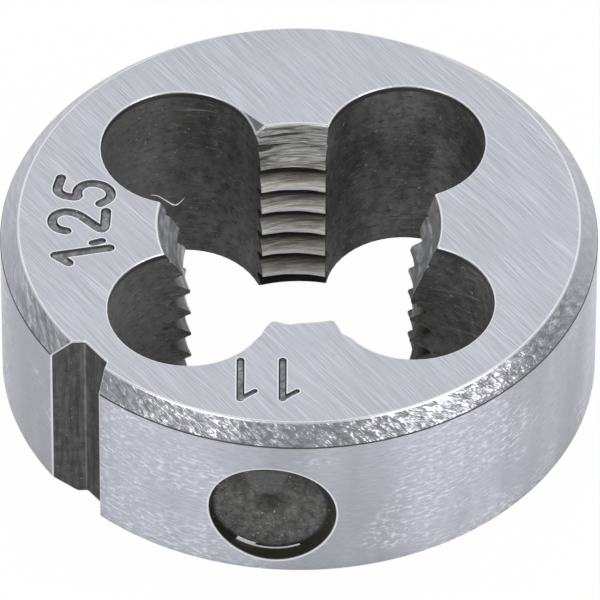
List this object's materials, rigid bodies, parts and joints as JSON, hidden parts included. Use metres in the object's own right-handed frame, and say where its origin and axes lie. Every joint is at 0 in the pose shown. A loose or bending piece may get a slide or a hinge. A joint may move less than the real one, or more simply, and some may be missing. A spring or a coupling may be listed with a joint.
{
  "type": "round threading die",
  "caption": "Solid round die that cuts an external right-hand thread on a bar, with chip holes round its bore, a notch and a screw seat in its rim.",
  "frame": {"origin": "centre of the plain bottom face, on the thread axis", "axes": "+Z along the thread axis, out of the marked face, where the bar goes in; -Y towards the screw seat"},
  "size_m": [0.025, 0.025, 0.009],
  "materials": {
    "die_steel": "ground bright on the faces, turned on the rim, dark scale in the chip holes"
  },
  "bodies": {
    "root": {"die_body": "die_steel"}
  },
  "joints": []
}
